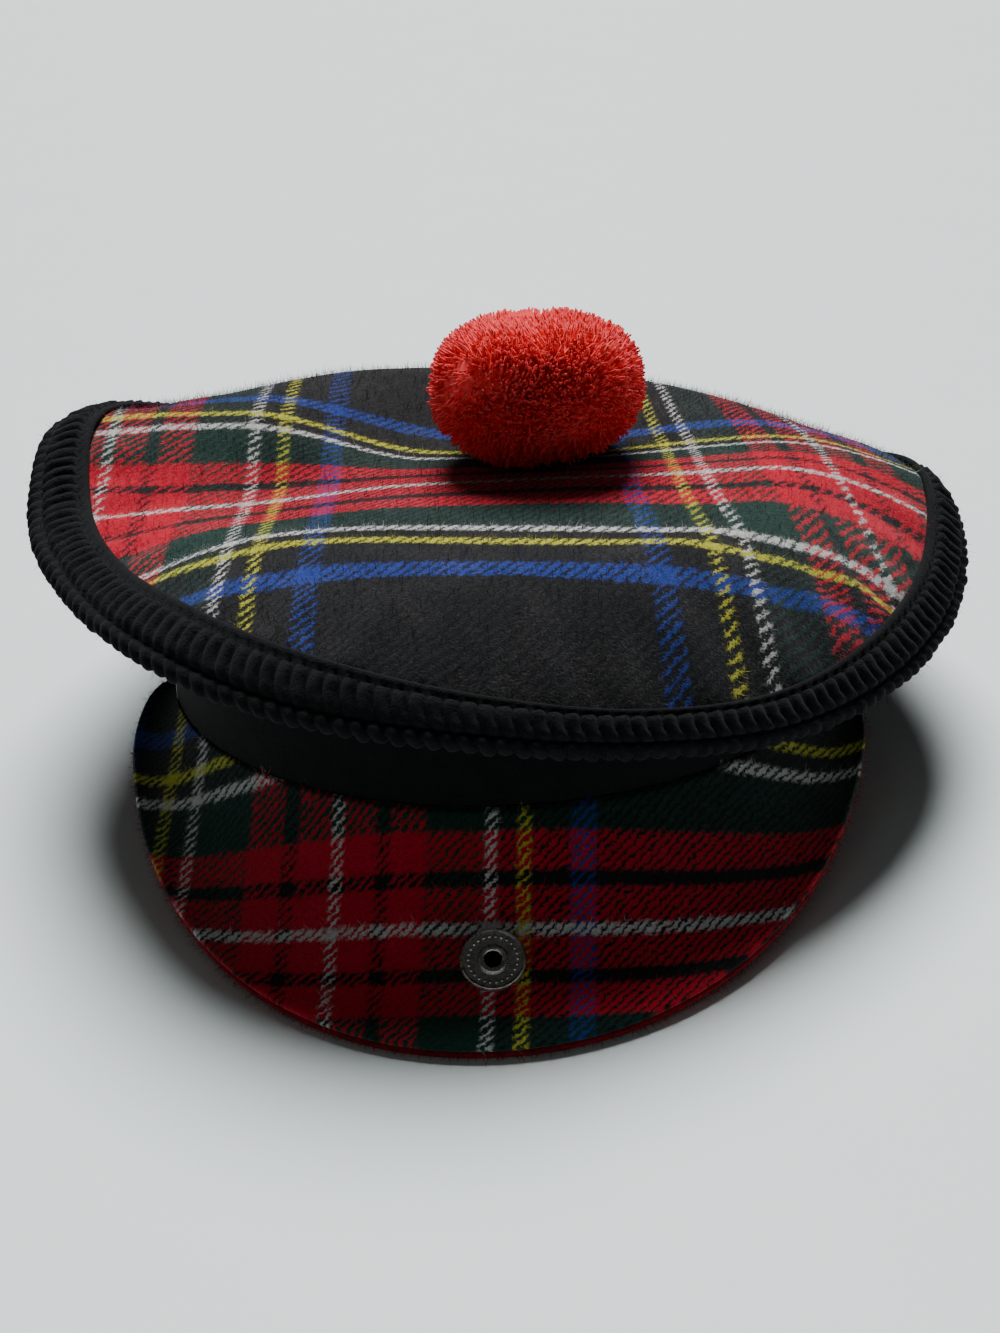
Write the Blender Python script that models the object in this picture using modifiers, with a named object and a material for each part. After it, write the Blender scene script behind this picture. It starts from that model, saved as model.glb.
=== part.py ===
"""Tartan tam with a pompom and a press-stud peak, at rest on its band and the front edge of its peak.

The hat is worked out as it is worn, with the band level, the front towards -Y and the peak's front
edge at height 0. An empty then tips all of it back until it rests on the surface at Z = 0.
Azimuths run from the front of the hat towards +X.
"""
import math
import random

import bmesh
import bpy
from mathutils import Matrix, Vector

# Driving sizes, in metres and degrees
CROWN_OVERHANG = 0.024       # the crown's seam outside the band, about its most at a side
CROWN_RISE = 0.022           # middle of the crown over the top of the band
CREST_RADIUS = 0.070         # ring where the crown's cloth is highest or starts to fall
BUTTON_SEAT = 0.022          # radius of the flat middle that the pompom is sewn to
CLOTH = 0.0020               # fulled wool of crown and peak
HEAD_WIDTH = 0.174           # outside of the band, side to side
HEAD_DEPTH = 0.192           # outside of the band, front to back
BAND_HEIGHT = 0.032
BAND_WALL = 0.003
BAND_LIFT = 0.036            # the band's lower edge over the peak's front edge
BRAID_FACE = 0.0150          # seam to the outer fold of the edging
BRAID_HALF_GAP = 0.0026      # half of the room that the edging leaves for the two cloths
BRAID_WALL = 0.0018
CLOTH_TUCK = 0.002           # how far the cloths reach into the edging
PEAK_OVERHANG = 0.007        # the peak outside the band at each side
PEAK_REACH = 0.045           # front edge of the peak in front of the band
PEAK_TIP_SETBACK = 0.020     # tips of the peak in front of the hat's middle
PEAK_TIP_AZIMUTH = 78.0
PEAK_COVER = 0.0022
PEAK_FACING = 0.0018
PEAK_LIP = 0.0008            # facing past the cover at the outer edge
PEAK_SEAM_RISE = 0.0035      # top of the peak over the band's lower edge
REST_FLAT = 0.012            # how much of the band's back is pressed flat by the surface
REST_EDGE_FLAT = 0.0004      # the same under the peak's front edge
SURFACE_SIZE = 1.0           # side of the block that stands for the surface
POMPOM_WIDTH = 0.057
POMPOM_DEPTH = 0.055
POMPOM_HEIGHT = 0.0395
POMPOM_SHIFT = 0.0105        # it leans off the middle of the crown, to the side
POMPOM_SETBACK = 0.009       # and to the back
POMPOM_SQUARENESS = 2.5      # 2 is an ellipsoid, more is fuller at the shoulders
POMPOM_SEED = 7
POMPOM_LEAN = 0.10           # how far a lock's end leans, as a share of its waist
POMPOM_LOCK = 0.0032         # how far the longest locks of yarn stand out of the head
POMPOM_LOCK_LEAST = 0.4      # shortest lock as a share of the longest
POMPOM_TRIM = 0.0008         # how much of its underside is cut flat where it is sewn on
SOCKET_RADIUS = 0.0075
SOCKET_SHIFT = 0.004
SOCKET_PLACE = 0.60          # share of the way from the band to the peak's edge
SOCKET_BACK = 0.0045         # radius of the flange that holds the socket under the peak
SOCKET_BACK_WALL = 0.0010
BARREL_RADIUS = 0.0024
STUD_RADIUS = 0.0025
STUD_FLANGE = 0.0007
STUD_POST = 0.0011
STUD_DROP = 0.0032           # how far the stud's knob stands out of the under cloth
STUD_OUT = 0.0046            # stud's middle in front of the band
GAP = 0.0003                 # clearance between pieces that touch
STUD_EASE = 0.0005           # the same at the stud, whose cloth is slightly curved

ROUND = 48                   # faces round the crown and the band
ACROSS = 34                  # faces along the peak
TURNED = 20                  # faces round the press stud

# One row for each 20 degrees of the crown. Columns: azimuth, then how far the seam stands outside
# the band as a share of the overhang, then the rise of the seam and of the crest over the band's
# top as shares of the crown's rise, then the sag of the under cloth as a share of the band's
# height, the edging's width as a share of its nominal one, and its tilt down in degrees.
CROWN_ROWS = [
    # azimuth, overhang, seam_rise, crest_rise, sag, face, tilt
    (-180, 0.40, -0.15, 1.41, 0.05, 1.00, 45),
    (-160, 0.45, 0.02, 1.49, 0.05, 1.00, 40),
    (-140, 0.59, 0.45, 1.59, 0.04, 0.92, 32),
    (-120, 0.77, 1.14, 1.61, 0.03, 1.00, 14),
    (-100, 0.90, 1.46, 1.49, 0.02, 1.02, 5),
    (-80, 0.70, 0.86, 0.92, 0.03, 1.10, 1),
    (-60, 0.52, 0.68, 0.91, 0.05, 1.08, 9),
    (-40, 0.48, 0.68, 1.00, 0.05, 1.15, 23),
    (-20, 0.50, 0.51, 1.00, 0.03, 1.08, 37),
    (0, 0.48, 0.18, 0.97, 0.00, 0.82, 37),
    (20, 0.50, -0.15, 0.95, 0.03, 0.66, 41),
    (40, 0.60, -0.31, 0.94, 0.05, 0.73, 42),
    (60, 0.73, -0.16, 0.92, 0.06, 0.91, 42),
    (80, 0.90, 0.16, 0.99, 0.06, 1.02, 40),
    (100, 1.01, 0.64, 1.14, 0.05, 1.02, 40),
    (120, 0.85, 0.42, 1.24, 0.05, 1.01, 48),
    (140, 0.62, 0.10, 1.31, 0.05, 1.00, 50),
    (160, 0.45, -0.06, 1.35, 0.05, 1.00, 48),
]
SHOULDER_POWER = 1.7         # how late the cloth falls from the crest to the seam
BRAID_LIPS = (88.0, -78.0)   # turns of the folded edging at its upper and lower lips
CREST_RINGS = (0.30, 0.55, 0.75, 0.90, 1.0)
SHOULDER_RINGS = (0.20, 0.40, 0.60, 0.76, 0.90, 1.0)
UNDER_RINGS = (0.25, 0.5, 0.75, 1.0)
PEAK_RINGS = 7
PEAK_BOW = 0.40              # the peak falls steeply at the band and flattens to its edge
PEAK_RISE_POWER = 1.15       # how late the peak's edge rises from its front to its tips
PEAK_TIP_ROUND = 0.86        # where the peak starts to round off towards its tips
PEAK_TIP_LEAST = 0.2         # width left at a tip, as a share
PEAK_SQUARE_RATE = 3.0       # how soon the layers turn square to the slope, away from the band
BRAID_POINTS = 9
SLOPE_STEP = 0.02            # step along the peak over which its slope is measured
SHARP_ANGLE = 40.0           # edges sharper than this are not shaded smooth

# Outline of the socket's face from its deep middle out to its rim. Columns: distance from its
# axis and height over the cloth, both as shares of its radius.
SOCKET_FACE = [
    # radius, height
    (0.00, -0.08),
    (0.22, -0.05),
    (0.28, 0.23),
    (0.38, 0.24),
    (0.43, 0.15),
    (0.56, 0.17),
    (0.62, 0.28),
    (0.76, 0.32),
    (0.92, 0.24),
    (1.00, 0.12),
]

# Outline of the stud's knob from its neck to its end. Columns: distance from its axis as a share
# of the stud's radius, and depth under the cloth as a share of its drop.
STUD_KNOB = [
    # radius, depth
    (0.50, 0.44),
    (0.50, 0.60),
    (0.66, 0.75),
    (0.45, 0.94),
    (0.00, 1.00),
]


def peak_thickness():
    return PEAK_COVER + GAP + PEAK_FACING


def remove_everything():
    for obj in list(bpy.data.objects):
        bpy.data.objects.remove(obj)


def collection(name):
    group = bpy.data.collections.new(name)
    bpy.context.scene.collection.children.link(group)
    return group


def material(name, colour, roughness, metallic=0.0):
    made = bpy.data.materials.new(name)
    made.use_nodes = True
    shader = made.node_tree.nodes["Principled BSDF"]
    shader.inputs["Base Color"].default_value = (*colour, 1.0)
    shader.inputs["Roughness"].default_value = roughness
    shader.inputs["Metallic"].default_value = metallic
    return made


def polar(radius, azimuth, height):
    angle = math.radians(azimuth)
    return Vector((radius * math.sin(angle), -radius * math.cos(angle), height))


def smooth(share):
    share = min(max(share, 0.0), 1.0)
    return share * share * (3.0 - 2.0 * share)


def band_radius(azimuth):
    """Outside of the band, an ellipse, at an azimuth."""
    angle = math.radians(azimuth)
    across = math.sin(angle) / (HEAD_WIDTH / 2)
    along = math.cos(angle) / (HEAD_DEPTH / 2)
    return 1.0 / math.hypot(across, along)


def band_top():
    return BAND_LIFT + BAND_HEIGHT


def crown_middle():
    return band_top() + CROWN_RISE


def crown_row(azimuth):
    """The crown's table at any azimuth, on a smooth closed curve through its rows."""
    count = len(CROWN_ROWS)
    step = 360.0 / count
    place = ((azimuth + 180.0) % 360.0) / step
    first = int(place) % count
    share = place - int(place)
    rows = [CROWN_ROWS[(first + offset) % count] for offset in (-1, 0, 1, 2)]
    values = []
    for column in range(1, 7):
        a, b, c, d = (row[column] for row in rows)
        values.append(b + 0.5 * share * (c - a + share * (2 * a - 5 * b + 4 * c - d
                      + share * (3 * (b - c) + d - a))))
    overhang, seam, crest, sag, face, tilt = values
    return {"radius": band_radius(azimuth) + overhang * CROWN_OVERHANG,
            "seam": band_top() + seam * CROWN_RISE, "crest": band_top() + crest * CROWN_RISE,
            "sag": sag * BAND_HEIGHT, "face": face * BRAID_FACE, "tilt": math.radians(tilt)}


def crown_height(azimuth, radius):
    """Height of the crown's outer face: flat seat, rise or dip to the crest, fall to the seam."""
    row = crown_row(azimuth)
    if radius <= CREST_RADIUS:
        share = (radius - BUTTON_SEAT) / (CREST_RADIUS - BUTTON_SEAT)
        return crown_middle() + (row["crest"] - crown_middle()) * smooth(share)
    share = (radius - CREST_RADIUS) / (row["radius"] - CREST_RADIUS)
    return row["crest"] + (row["seam"] - row["crest"]) * share ** SHOULDER_POWER


def seam_frame(azimuth):
    """Seam point and the edging's two directions there: outwards along it, and out of its face."""
    row = crown_row(azimuth)
    outward = polar(math.cos(row["tilt"]), azimuth, -math.sin(row["tilt"]))
    upward = polar(math.sin(row["tilt"]), azimuth, math.cos(row["tilt"]))
    return polar(row["radius"], azimuth, row["seam"]), outward, upward


def azimuths():
    return [360.0 * step / ROUND for step in range(ROUND)]


def new_object(name, mesh, group, look, parent):
    obj = bpy.data.objects.new(name, mesh)
    group.objects.link(obj)
    obj.parent = parent
    obj.data.materials.append(look)
    obj.data.shade_smooth()
    obj.data.set_sharp_from_angle(angle=math.radians(SHARP_ANGLE))
    return obj


def ring_surface(name, rings, middle=None):
    """An open surface through closed rings of points, with a fan of faces to a middle point."""
    bm = bmesh.new()
    loops = [[bm.verts.new(point) for point in ring] for ring in rings]
    count = len(loops[0])
    for inner, outer in zip(loops, loops[1:]):
        for at in range(count):
            after = (at + 1) % count
            bm.faces.new((inner[at], outer[at], outer[after], inner[after]))
    if middle is not None:
        hub = bm.verts.new(middle)
        for at in range(count):
            bm.faces.new((hub, loops[0][at], loops[0][(at + 1) % count]))
    mesh = bpy.data.meshes.new(name)
    bm.to_mesh(mesh)
    bm.free()
    return mesh


def thicken(obj, wall):
    """Gives an open surface its wall, on the side away from its faces."""
    solid = obj.modifiers.new("wall", "SOLIDIFY")
    solid.thickness = wall
    solid.offset = -1.0
    solid.use_even_offset = True
    solid.use_quality_normals = True


def cut(obj, cutter):
    boolean = obj.modifiers.new("cut", "BOOLEAN")
    boolean.operation = "DIFFERENCE"
    boolean.object = cutter


def guide(obj):
    obj.hide_render = True
    obj.display_type = "WIRE"
    return obj


def build_crown_top(group, look, parent):
    rings = []
    for share in CREST_RINGS:
        radius = BUTTON_SEAT + (CREST_RADIUS - BUTTON_SEAT) * (share - CREST_RINGS[0]) / (
            1.0 - CREST_RINGS[0])
        rings.append([polar(radius, a, crown_height(a, radius)) for a in azimuths()])
    for share in SHOULDER_RINGS:
        ring = []
        for a in azimuths():
            radius = CREST_RADIUS + (crown_row(a)["radius"] - CREST_RADIUS) * share
            ring.append(polar(radius, a, crown_height(a, radius)))
        rings.append(ring)
    tucked = []
    for a in azimuths():
        seam, outward, upward = seam_frame(a)
        tucked.append(seam + outward * CLOTH_TUCK - upward * GAP)
    rings.append(tucked)
    mesh = ring_surface("crown_top", rings, Vector((0, 0, crown_middle())))
    obj = new_object("crown_top", mesh, group, look, parent)
    thicken(obj, CLOTH)
    return obj


def under_crown_rings():
    """Rows of the under cloth, from its sewn edge on the band out into the edging."""
    top = band_top() + GAP
    rings = []
    for offset in (-BAND_WALL, BAND_WALL / 2):
        rings.append([polar(band_radius(a) + offset, a, top) for a in azimuths()])
    for share in UNDER_RINGS:
        ring = []
        for a in azimuths():
            seam, _, upward = seam_frame(a)
            start = polar(band_radius(a) + BAND_WALL / 2, a, top)
            end = seam - upward * 2 * BRAID_HALF_GAP
            drop = 4 * share * (1 - share) * crown_row(a)["sag"]
            ring.append(start.lerp(end, share) - Vector((0, 0, drop)))
        rings.append(ring)
    tucked = []
    for a in azimuths():
        seam, outward, upward = seam_frame(a)
        tucked.append(seam - upward * (2 * BRAID_HALF_GAP - GAP) + outward * CLOTH_TUCK)
    rings.append(tucked)
    return rings


def build_under_crown(group, look, parent):
    rings = [list(reversed(ring)) for ring in under_crown_rings()]
    obj = new_object("under_crown", ring_surface("under_crown", rings), group, look, parent)
    thicken(obj, CLOTH)
    return obj


def build_rim_braid(group, look, parent):
    """Knitted edging folded round the joined edges of the two cloths, open towards the middle."""
    half = BRAID_HALF_GAP + GAP + BRAID_WALL
    rings = []
    for step in range(BRAID_POINTS):
        upper, lower = BRAID_LIPS
        turn = math.radians(upper + (lower - upper) * step / (BRAID_POINTS - 1))
        ring = []
        for a in azimuths():
            seam, outward, upward = seam_frame(a)
            centre = seam - upward * BRAID_HALF_GAP
            ring.append(centre + outward * crown_row(a)["face"] * math.cos(turn)
                        + upward * half * math.sin(turn))
        rings.append(ring)
    obj = new_object("rim_braid", ring_surface("rim_braid", rings), group, look, parent)
    thicken(obj, BRAID_WALL)
    return obj


def build_headband(group, look, parent, floor):
    rings = []
    for share in (1.0, 0.5, 0.0):
        height = BAND_LIFT + BAND_HEIGHT * share
        rings.append([polar(band_radius(a), a, height) for a in azimuths()])
    obj = new_object("headband", ring_surface("headband", rings), group, look, parent)
    thicken(obj, BAND_WALL)
    cut(obj, floor)
    return obj


def peak_half_width():
    return HEAD_WIDTH / 2 + PEAK_OVERHANG


def peak_line(turn):
    """Top face of the peak at a place from -1 to 1 along it: its ends, way out and steepness."""
    azimuth = turn * PEAK_TIP_AZIMUTH
    inner = polar(band_radius(azimuth) + GAP, azimuth, BAND_LIFT + PEAK_SEAM_RISE)
    angle = turn * math.pi / 2
    front = HEAD_DEPTH / 2 + PEAK_REACH
    length = front - PEAK_TIP_SETBACK
    back = length * (1.0 - math.cos(angle))
    lift = BAND_LIFT * (back / length) ** PEAK_RISE_POWER
    edge = Vector((peak_half_width() * math.sin(angle), back - front, lift))
    run = Vector((edge.x - inner.x, edge.y - inner.y, 0.0))
    steep = math.atan2(inner.z - edge.z - peak_thickness(), run.length)
    edge.z += peak_thickness() * math.cos(steep) + PEAK_LIP * math.sin(steep * (1.0 - PEAK_BOW))
    into_tip = max(abs(turn) - PEAK_TIP_ROUND, 0.0) / (1.0 - PEAK_TIP_ROUND)
    reach = max(math.sqrt(max(1.0 - into_tip * into_tip, 0.0)), PEAK_TIP_LEAST)
    return inner, inner.lerp(edge, reach), run.normalized(), steep


def peak_point(turn, share, depth, past_edge=0.0):
    """A point of the peak: place along it, share of the way out, depth below its top face."""
    inner, edge, out, steep = peak_line(turn)
    bowed = share + PEAK_BOW * share * (1.0 - share)
    top = inner.lerp(edge, share)
    top.z = inner.z + (edge.z - inner.z) * bowed
    slope = steep * (1.0 - PEAK_BOW)
    downhill = out * math.cos(slope) - Vector((0, 0, math.sin(slope)))
    top += downhill * past_edge * share
    normal = out * math.sin(steep) + Vector((0, 0, math.cos(steep)))
    upright = Vector((0, 0, 1.0 / math.cos(steep)))
    lean = upright.lerp(normal, smooth(share * PEAK_SQUARE_RATE))
    return top - lean * depth


def peak_slab(name, top_depth, bottom_depth, past_edge):
    """A closed layer of the peak between two depths below its top face."""
    bm = bmesh.new()
    sides = []
    for depth in (top_depth, bottom_depth):
        rows = []
        for step in range(ACROSS + 1):
            turn = 2.0 * step / ACROSS - 1.0
            rows.append([bm.verts.new(peak_point(turn, ring / PEAK_RINGS, depth, past_edge))
                         for ring in range(PEAK_RINGS + 1)])
        sides.append(rows)
    top, bottom = sides
    for i in range(ACROSS):
        for j in range(PEAK_RINGS):
            bm.faces.new((top[i][j], top[i][j + 1], top[i + 1][j + 1], top[i + 1][j]))
            bm.faces.new((bottom[i][j], bottom[i + 1][j], bottom[i + 1][j + 1], bottom[i][j + 1]))
    border = [(i, 0) for i in range(ACROSS + 1)]
    border += [(ACROSS, j) for j in range(1, PEAK_RINGS + 1)]
    border += [(i, PEAK_RINGS) for i in range(ACROSS - 1, -1, -1)]
    border += [(0, j) for j in range(PEAK_RINGS - 1, 0, -1)]
    for (a, b), (c, d) in zip(border, border[1:] + border[:1]):
        bm.faces.new((top[a][b], top[c][d], bottom[c][d], bottom[a][b]))
    bmesh.ops.recalc_face_normals(bm, faces=bm.faces)
    mesh = bpy.data.meshes.new(name)
    bm.to_mesh(mesh)
    bm.free()
    return mesh


def socket_place():
    """Where the press stud goes through the peak, with its axis square to the cloth."""
    turn = SOCKET_SHIFT / peak_half_width() * 2.0 / math.pi
    step = SLOPE_STEP
    along = peak_point(turn + step, SOCKET_PLACE, 0) - peak_point(turn - step, SOCKET_PLACE, 0)
    out = peak_point(turn, SOCKET_PLACE + step, 0) - peak_point(turn, SOCKET_PLACE - step, 0)
    normal = out.cross(along).normalized()
    along.normalize()
    side = normal.cross(along)
    turned = Matrix((along, side, normal)).transposed().to_4x4()
    return Matrix.Translation(peak_point(turn, SOCKET_PLACE, 0)) @ turned


def turned_piece(name, profile, place, group, look, parent):
    """A closed turned solid from a profile of radius and height, top to bottom."""
    mesh = bpy.data.meshes.new(name)
    points = [(radius, 0.0, height) for radius, height in profile]
    mesh.from_pydata(points, [(i, i + 1) for i in range(len(points) - 1)], [])
    obj = new_object(name, mesh, group, look, parent)
    obj.matrix_local = place
    screw = obj.modifiers.new("turn", "SCREW")
    screw.steps = TURNED
    screw.render_steps = TURNED
    screw.use_merge_vertices = True
    screw.merge_threshold = 0.00001
    return obj


def cylinder(name, radius, length, place, group, parent):
    mesh = bpy.data.meshes.new(name)
    bm = bmesh.new()
    bmesh.ops.create_cone(bm, cap_ends=True, segments=TURNED, radius1=radius, radius2=radius,
                          depth=length)
    bm.to_mesh(mesh)
    bm.free()
    obj = bpy.data.objects.new(name, mesh)
    group.objects.link(obj)
    obj.parent = parent
    obj.matrix_local = place
    return guide(obj)


def build_peak(group, guides, cover_look, facing_look, parent, floor):
    place = socket_place()
    hole = cylinder("socket_hole", BARREL_RADIUS + GAP, 4 * peak_thickness(), place, guides, parent)
    cover = new_object("peak_cover", peak_slab("peak_cover", 0.0, PEAK_COVER, 0.0),
                       group, cover_look, parent)
    facing = new_object("peak_facing",
                        peak_slab("peak_facing", PEAK_COVER + GAP, peak_thickness(), PEAK_LIP),
                        group, facing_look, parent)
    for obj in (cover, facing):
        cut(obj, hole)
        cut(obj, floor)


def build_socket(group, look, parent):
    """Ring with a deep round cup, its barrel through the peak and the flange under it."""
    under = -peak_thickness() - GAP
    back = under - SOCKET_BACK_WALL
    profile = [(radius * SOCKET_RADIUS, height * SOCKET_RADIUS) for radius, height in SOCKET_FACE]
    profile += [(SOCKET_RADIUS - GAP, GAP), (BARREL_RADIUS, GAP), (BARREL_RADIUS, under),
                (SOCKET_BACK + GAP, under), (SOCKET_BACK, back), (0.0, back)]
    return turned_piece("snap_socket", profile, socket_place(), group, look, parent)


def stud_place():
    """The stud under the crown's front, square to the strip between the band and the edging."""
    top = band_top() + GAP
    start = polar(band_radius(0) + BAND_WALL / 2, 0, top)
    seam, _, upward = seam_frame(0)
    end = seam - upward * 2 * BRAID_HALF_GAP
    out = (end - start).normalized()
    share = (STUD_OUT - BAND_WALL / 2) / (end - start).length
    normal = Vector((0, out.z, -out.y))
    turned = Matrix((Vector((1, 0, 0)), normal.cross(Vector((1, 0, 0))), normal)).transposed()
    return Matrix.Translation(start.lerp(end, share)) @ turned.to_4x4()


def build_stud(group, guides, look, parent, under_crown):
    place = stud_place()
    hole = cylinder("stud_hole", STUD_POST + GAP, 6 * CLOTH, place, guides, parent)
    cut(under_crown, hole)
    over = CLOTH + STUD_EASE
    profile = [(0.0, over + STUD_FLANGE), (STUD_RADIUS - GAP, over + STUD_FLANGE),
               (STUD_RADIUS, over), (STUD_POST, over), (STUD_POST, -STUD_EASE),
               (STUD_RADIUS, -STUD_EASE), (STUD_RADIUS, -STUD_EASE - STUD_FLANGE)]
    profile += [(radius * STUD_RADIUS, -depth * STUD_DROP) for radius, depth in STUD_KNOB]
    return turned_piece("snap_stud", profile, place, group, look, parent)


def build_pompom(group, guides, look, parent):
    """A round head with its locks of cut yarn fused to it, trimmed flat where it is sewn on."""
    bm = bmesh.new()
    bmesh.ops.create_icosphere(bm, subdivisions=3, radius=1.0)
    head = Vector((POMPOM_WIDTH, POMPOM_DEPTH, POMPOM_HEIGHT)) / 2
    head -= Vector((POMPOM_LOCK, POMPOM_LOCK, POMPOM_LOCK))
    for vert in bm.verts:
        size = sum(abs(c) ** POMPOM_SQUARENESS for c in vert.co) ** (1.0 / POMPOM_SQUARENESS)
        vert.co = Vector(c / size * s for c, s in zip(vert.co, head))
    chance = random.Random(POMPOM_SEED)
    for face in bm.faces[:]:
        waist = math.sqrt(face.calc_area())
        length = POMPOM_LOCK * chance.uniform(POMPOM_LOCK_LEAST, 1.0)
        lean = Vector([chance.uniform(-1.0, 1.0) for _ in range(3)]) * waist * POMPOM_LEAN
        bmesh.ops.inset_individual(bm, faces=[face], thickness=waist * chance.uniform(0.12, 0.24),
                                   depth=length)
        bmesh.ops.translate(bm, verts=face.verts, vec=lean)
    mesh = bpy.data.meshes.new("pompom")
    bm.to_mesh(mesh)
    bm.free()
    obj = new_object("pompom", mesh, group, look, parent)
    seat = crown_middle() + GAP
    obj.location = (POMPOM_SHIFT, POMPOM_SETBACK, seat + POMPOM_HEIGHT / 2 - POMPOM_TRIM)
    below = bpy.data.meshes.new("pompom_trim")
    bm = bmesh.new()
    bmesh.ops.create_cube(bm, size=POMPOM_WIDTH)
    bm.to_mesh(below)
    bm.free()
    block = bpy.data.objects.new("pompom_trim", below)
    guides.objects.link(block)
    block.parent = parent
    block.location = (POMPOM_SHIFT, POMPOM_SETBACK, seat - POMPOM_WIDTH / 2)
    cut(obj, guide(block))
    return obj


def floor_cutter(guides):
    """Everything under the surface that the hat rests on, for the cloth that it presses flat."""
    bm = bmesh.new()
    bmesh.ops.create_cube(bm, size=SURFACE_SIZE)
    mesh = bpy.data.meshes.new("surface")
    bm.to_mesh(mesh)
    bm.free()
    obj = bpy.data.objects.new("surface", mesh)
    guides.objects.link(obj)
    obj.location = (0.0, 0.0, -SURFACE_SIZE / 2)
    return guide(obj)


def tip_to_rest(pose):
    """Tips the hat back until the peak's front edge and the back of the band lie on Z = 0."""
    back = Vector((HEAD_DEPTH / 2 - REST_FLAT, BAND_LIFT))
    edge = peak_point(0.0, 1.0, peak_thickness(), PEAK_LIP)
    front = Vector((edge.y, edge.z + REST_EDGE_FLAT))
    tilt = math.atan2(back.y - front.y, back.x - front.x)
    pose.rotation_euler = (-tilt, 0.0, 0.0)
    pose.location.z = -(back.y * math.cos(tilt) - back.x * math.sin(tilt))


def centre_on_origin(pose, group):
    """Moves the hat level, so that the middle of its box stands over the origin."""
    bpy.context.view_layer.update()
    depsgraph = bpy.context.evaluated_depsgraph_get()
    corners = []
    for obj in group.objects:
        seen = obj.evaluated_get(depsgraph)
        if obj.type == "MESH":
            corners += [seen.matrix_world @ v.co for v in seen.data.vertices]
    for axis in (0, 1):
        values = [corner[axis] for corner in corners]
        pose.location[axis] -= (min(values) + max(values)) / 2


def main():
    remove_everything()
    group = collection("tam_with_peak")
    guides = collection("guides")
    pose = bpy.data.objects.new("rest_pose", None)
    group.objects.link(pose)
    floor = floor_cutter(guides)
    tip_to_rest(pose)

    tartan = material("tartan_wool", (0.30, 0.04, 0.06), 0.90)
    facing = material("facing_wool", (0.45, 0.02, 0.04), 0.90)
    dark = material("dark_wool", (0.010, 0.011, 0.014), 0.95)
    braid = material("braid_black", (0.008, 0.009, 0.012), 0.85)
    yarn = material("pompom_red", (0.62, 0.03, 0.035), 0.90)
    nickel = material("nickel", (0.62, 0.60, 0.57), 0.25, 1.0)

    build_crown_top(group, tartan, pose)
    under_crown = build_under_crown(group, dark, pose)
    build_rim_braid(group, braid, pose)
    build_headband(group, dark, pose, floor)
    build_peak(group, guides, tartan, facing, pose, floor)
    build_socket(group, nickel, pose)
    build_stud(group, guides, nickel, pose, under_crown)
    build_pompom(group, guides, yarn, pose)
    centre_on_origin(pose, group)


main()
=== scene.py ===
# %% [markdown]
# A tartan tam with a pompom, a ribbed edging and a peak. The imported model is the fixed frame: it
# says where each piece of the hat is. This file dresses it in wool, yarn and nickel. Every cloth
# piece is built again with fine faces on the same formulas as the solid that it stands for, so the
# shape stays and only the detail is new.

# %% Load the frame
import math
import bmesh
import bpy
from mathutils import Matrix, Vector


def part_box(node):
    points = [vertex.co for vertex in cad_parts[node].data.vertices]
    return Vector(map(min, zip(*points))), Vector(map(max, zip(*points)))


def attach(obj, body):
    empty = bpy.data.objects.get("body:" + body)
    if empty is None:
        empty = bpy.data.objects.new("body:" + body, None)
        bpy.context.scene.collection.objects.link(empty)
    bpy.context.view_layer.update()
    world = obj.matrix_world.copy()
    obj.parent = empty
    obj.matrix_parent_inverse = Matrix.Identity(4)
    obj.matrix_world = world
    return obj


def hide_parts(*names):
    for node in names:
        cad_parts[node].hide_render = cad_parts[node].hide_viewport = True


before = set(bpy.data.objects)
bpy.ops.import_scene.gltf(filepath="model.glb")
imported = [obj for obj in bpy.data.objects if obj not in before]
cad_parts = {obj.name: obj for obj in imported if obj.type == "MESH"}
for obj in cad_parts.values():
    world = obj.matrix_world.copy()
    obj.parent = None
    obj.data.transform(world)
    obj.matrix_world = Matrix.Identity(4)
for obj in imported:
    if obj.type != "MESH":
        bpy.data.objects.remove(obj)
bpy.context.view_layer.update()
print("pieces in the frame:", ", ".join(sorted(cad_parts)))

# %% [markdown]
# The hat is easiest to describe as it is worn, with its band level. At rest it lies tipped back on
# the back of its band and the front edge of its peak. One matrix turns worn positions into resting
# ones. The tilt is known from the solids, and the level shift is measured on the headband's box.

# %% Worn position to resting position
HEAD_WIDTH, HEAD_DEPTH = 0.174, 0.192
BAND_LIFT, BAND_HEIGHT, BAND_WALL = 0.036, 0.032, 0.003
REST_FLAT = 0.012
REST_TILT = math.radians(9.067)

band_low, band_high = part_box("headband")
cosine, sine = math.cos(REST_TILT), math.sin(REST_TILT)
shift = Vector(((band_low.x + band_high.x) / 2,
                band_low.y + HEAD_DEPTH / 2 * cosine - BAND_LIFT * sine,
                (HEAD_DEPTH / 2 - REST_FLAT) * sine - BAND_LIFT * cosine))
AT_REST = Matrix.Translation(shift) @ Matrix.Rotation(-REST_TILT, 4, "X")
print("shift of the worn hat in mm:", [round(v * 1000, 2) for v in shift])

# %% [markdown]
# The camera stands in front of the hat, a little to its left side and well above it, close enough
# for the near edge of the peak to look larger than the far rim. Its place was found by fitting the
# outlines of the peak and the rim. It is given in the worn position and turned with the hat.

# %% Camera
PITCH, YAW, ROLL = math.radians(22.0), math.radians(4.2), math.radians(2.2)
DISTANCE, AIM_ACROSS, AIM_HEIGHT = 0.582, -0.0012, 0.0349
LENS_PIXELS, FRAME_PIXELS = 2160.0, 1000.0

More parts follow.
